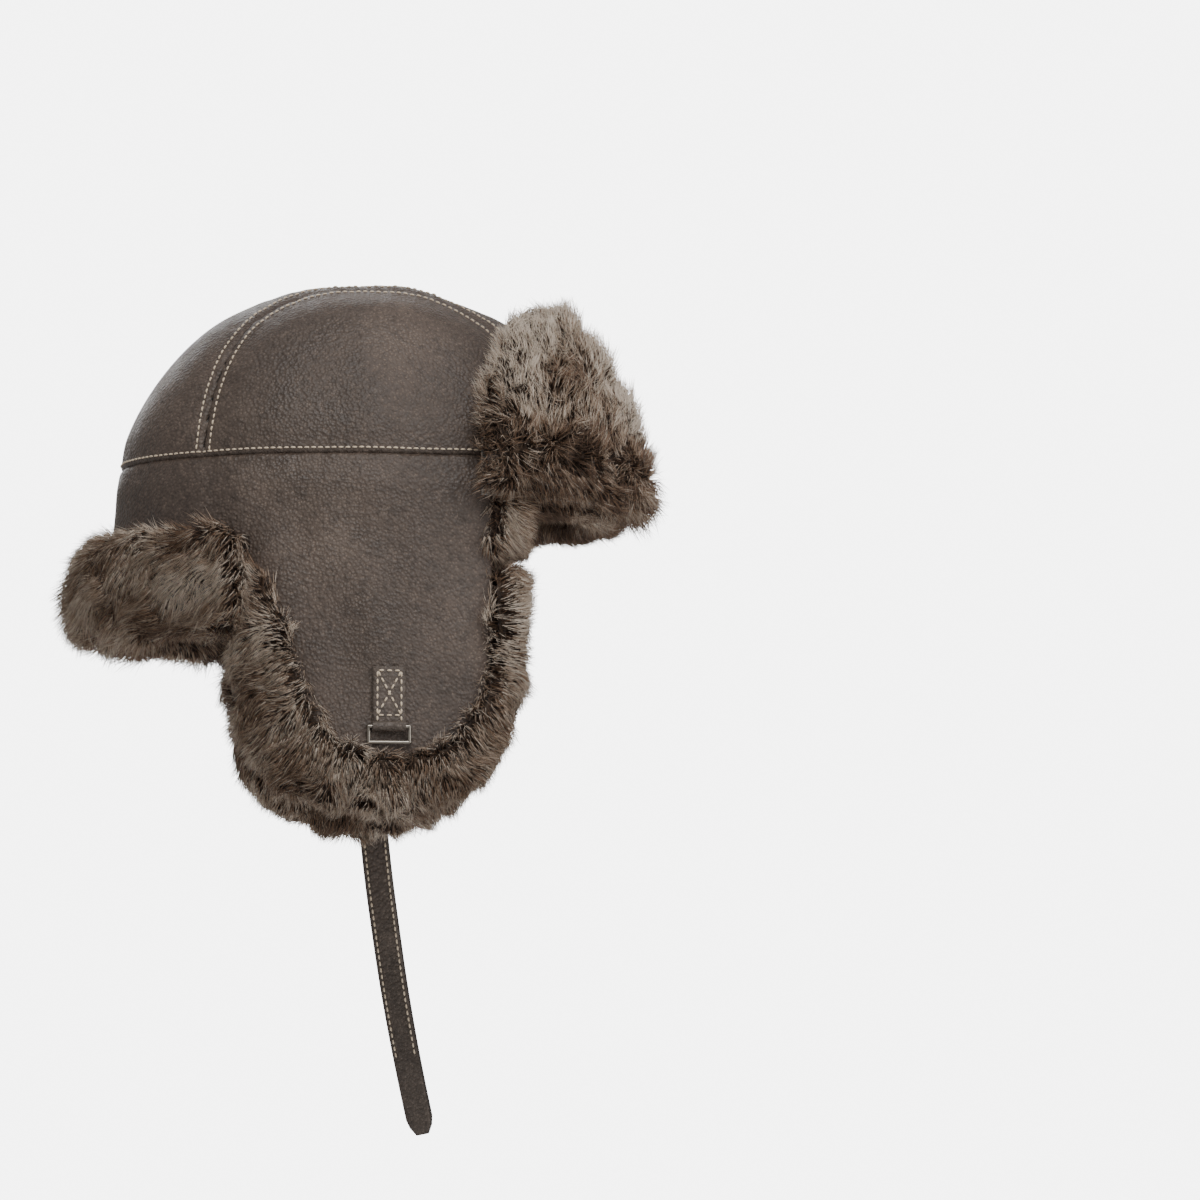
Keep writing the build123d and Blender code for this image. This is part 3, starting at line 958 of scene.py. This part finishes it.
def dress_cad_nodes():
    """CAD nodes that stay as they are, with finished materials."""
    looks = {
        "crown_lining": QUILT, "size_label": LABEL_CLOTH, "visor_shell": LEATHER_SKIN,
        "visor_stiffener": FELT, "flap_wadding_right": FLEECE,
        "flap_wadding_left": FLEECE, "ring_tab_right": STRAP_SKIN, "tab_ring": METAL,
    }
    for node, material in looks.items():
        mesh = bpy.data.objects[node].data
        mesh.materials.clear()
        mesh.materials.append(material)


# ---------- stage ----------


def area_light(name, place, size, power, target=(0, 0, 0)):
    light = bpy.data.lights.new(name, "AREA")
    light.energy, light.size = power, size
    lamp = bpy.data.objects.new(name, light)
    bpy.context.scene.collection.objects.link(lamp)
    lamp.location = place
    lamp.rotation_euler = (Vector(target) - Vector(place)).to_track_quat("-Z", "Y").to_euler()


def stage():
    scene = bpy.context.scene
    floor_z = CAD_BOX[0][2] - 0.26
    reach = 6.0
    signs = ((-1, -1), (1, -1), (1, 1), (-1, 1))
    corners = [(x * reach, y * reach, floor_z) for x, y in signs]
    pale = Shader("floor_pale", (0.8, 0.8, 0.8), 0.7).material
    mesh = bpy.data.meshes.new("floor")
    mesh.from_pydata(corners, [], [[0, 1, 2, 3]])
    mesh.materials.append(pale)
    floor = bpy.data.objects.new("floor", mesh)
    scene.collection.objects.link(floor)
    floor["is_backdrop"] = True
    world = bpy.data.worlds.new("studio")
    world.use_nodes = True
    background = world.node_tree.nodes["Background"]
    background.inputs["Color"].default_value = (1, 1, 1, 1)
    seen = world.node_tree.nodes.new("ShaderNodeLightPath")
    strength = world.node_tree.nodes.new("ShaderNodeMapRange")
    strength.inputs["To Min"].default_value = 0.42
    strength.inputs["To Max"].default_value = 6.0
    world.node_tree.links.new(seen.outputs["Is Camera Ray"], strength.inputs["Value"])
    world.node_tree.links.new(strength.outputs["Result"], background.inputs["Strength"])
    scene.world = world
    area_light("key", (-1.2, -0.1, 1.3), 0.9, 22)
    area_light("front", (-0.9, -1.3, 0.3), 1.0, 9)
    area_light("left_side", (1.4, 0.3, 0.8), 1.0, 12)

    turn, tilt = np.radians(5.5), np.radians(6.3)
    distance, lens, sensor = 2.55, 150.0, 36.0
    back = Vector((-np.cos(turn) * np.cos(tilt), np.sin(turn) * np.cos(tilt), -np.sin(tilt)))
    right = Vector((-np.sin(turn), -np.cos(turn), 0))
    up = back.cross(right)
    camera_data = bpy.data.cameras.new("camera")
    camera_data.lens, camera_data.sensor_width = lens, sensor
    camera = bpy.data.objects.new("camera", camera_data)
    scene.collection.objects.link(camera)
    target = right * 0.120 - up * 0.043
    camera.location = target + back * distance
    camera.rotation_euler = back.to_track_quat("Z", "Y").to_euler()
    scene.camera = camera


leather_pieces()
wadding()
forehead_binding()
seam_stitches()
fur_pieces()
tab_pieces()
chin_strap()
patches()
dress_cad_nodes()
stage()

plain = lambda box: [[float(value) for value in corner] for corner in box]
{"cad": plain(CAD_BOX), "visual": plain(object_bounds())}
